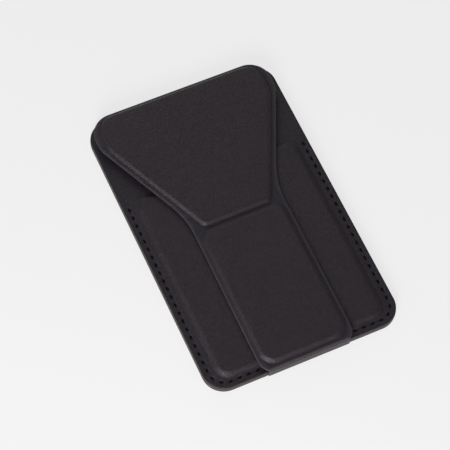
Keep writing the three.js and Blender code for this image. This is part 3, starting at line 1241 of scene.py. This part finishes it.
class CARDHOLDER_OT_lining(bpy.types.Operator):
    """Lining on the underside of the stem and the foot"""

    bl_idname = "card_holder.lining"
    bl_label = "Flap lining"

    def execute(self, context):
        lining = microfibre("flap_lining", context.scene.card_holder_colours.lining)
        for body, node_name in (("stem", "stem_lining"), ("foot", "foot_lining")):
            low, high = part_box(node_name)
            piece = build_flap_lining(body + "_lining_sheet", low.y, high.y)
            dress(piece, lining, body)
            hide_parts(node_name)
        return {"FINISHED"}


class CARDHOLDER_OT_inside(bpy.types.Operator):
    """Finishes of the boards, magnets and steel inside"""

    bl_idname = "card_holder.inside"
    bl_label = "Inner pieces"

    def execute(self, context):
        colours = context.scene.card_holder_colours
        finishes = {
            "stiffener": pressed_board("pressed_board", colours.board),
            "magnet": plain_metal("nickel", NICKEL, NICKEL_ROUGHNESS),
            "steel": plain_metal("rolled_steel", STEEL, STEEL_ROUGHNESS),
            "lining": microfibre("pocket_lining", colours.lining),
        }
        for entry in frame["record"]["subparts"]:
            finish = finishes.get(entry["material_slot"])
            piece = frame["nodes"][entry["node"]]
            if finish and not piece.hide_render:
                piece.data.materials.clear()
                piece.data.materials.append(finish)
        return {"FINISHED"}


class CARDHOLDER_OT_stage(bpy.types.Operator):
    """Pale floor, soft light and the camera"""

    bl_idname = "card_holder.stage"
    bl_label = "Stage"

    def execute(self, context):
        add_floor(context.scene.card_holder_colours.floor)
        for name, (place, size, power) in LAMPS.items():
            add_lamp(name, place, size, power)
        add_world(context.scene)
        add_camera(context.scene)
        return {"FINISHED"}


def add_floor(colour):
    bpy.ops.object.select_all(action="DESELECT")
    bpy.ops.mesh.primitive_plane_add(size=FLOOR_SIZE, location=(0, 0, FLOOR_LEVEL))
    floor = bpy.context.object
    floor.name = "floor"
    floor.data.materials.append(floor_paper("floor_paper", colour))


def add_lamp(name, place, size, power):
    lamp = bpy.data.lights.new(name, "AREA")
    lamp.shape = "DISK"
    lamp.size = size
    lamp.energy = power
    holder = bpy.data.objects.new(name, lamp)
    holder.location = place
    holder.rotation_euler = (-Vector(place)).to_track_quat("-Z", "Y").to_euler()
    bpy.context.scene.collection.objects.link(holder)


def add_world(scene):
    """An even white sky that lights the part. The camera alone sees a pale backdrop instead."""
    world = bpy.data.worlds.new("studio")
    world.use_nodes = True
    tree = world.node_tree
    backdrop = tree.nodes["Background"]
    sky = tree.nodes.new("ShaderNodeBackground")
    backdrop.inputs["Color"].default_value = BACKDROP
    sky.inputs["Color"].default_value = (1, 1, 1, 1)
    sky.inputs["Strength"].default_value = SKY_STRENGTH
    path = tree.nodes.new("ShaderNodeLightPath")
    mix = tree.nodes.new("ShaderNodeMixShader")
    tree.links.new(path.outputs["Is Camera Ray"], mix.inputs[0])
    tree.links.new(sky.outputs[0], mix.inputs[1])
    tree.links.new(backdrop.outputs[0], mix.inputs[2])
    tree.links.new(mix.outputs[0], tree.nodes["World Output"].inputs["Surface"])
    scene.world = world


def add_camera(scene):
    camera = bpy.data.cameras.new("camera")
    camera.lens = CAMERA_LENS
    camera.sensor_width = 36
    camera.clip_end = 20
    holder = bpy.data.objects.new("camera", camera)
    holder.location = CAMERA_PLACE
    holder.rotation_euler = [math.radians(turn) for turn in CAMERA_TURNS]
    scene.collection.objects.link(holder)
    scene.camera = holder


class CARDHOLDER_PT_panel(bpy.types.Panel):
    """Sizes, colours and steps of the card holder"""

    bl_idname = "CARDHOLDER_PT_panel"
    bl_label = "Card Holder"
    bl_space_type = "VIEW_3D"
    bl_region_type = "UI"
    bl_category = "Card Holder"

    def draw(self, context):
        layout = self.layout
        for group in (context.scene.card_holder_sizes, context.scene.card_holder_colours):
            box = layout.box()
            for name in group.__annotations__:
                box.prop(group, name)
        for step in STEPS:
            layout.operator(step.bl_idname)


STEPS = (
    CARDHOLDER_OT_front,
    CARDHOLDER_OT_back,
    CARDHOLDER_OT_stitches,
    CARDHOLDER_OT_flap,
    CARDHOLDER_OT_lining,
    CARDHOLDER_OT_inside,
    CARDHOLDER_OT_stage,
)
CLASSES = (HolderSizes, HolderColours) + STEPS + (CARDHOLDER_PT_panel,)


def register():
    for entry in CLASSES:
        bpy.utils.register_class(entry)
    bpy.types.Scene.card_holder_sizes = PointerProperty(type=HolderSizes)
    bpy.types.Scene.card_holder_colours = PointerProperty(type=HolderColours)


def unregister():
    del bpy.types.Scene.card_holder_colours
    del bpy.types.Scene.card_holder_sizes
    for entry in reversed(CLASSES):
        bpy.utils.unregister_class(entry)


def main():
    register()
    bpy.context.scene.view_settings.view_transform = "Standard"
    bpy.ops.card_holder.front()
    bpy.ops.card_holder.back()
    bpy.ops.card_holder.stitches()
    bpy.ops.card_holder.flap()
    bpy.ops.card_holder.lining()
    bpy.ops.card_holder.inside()
    bpy.ops.card_holder.stage()


if __name__ == "__main__":
    main()
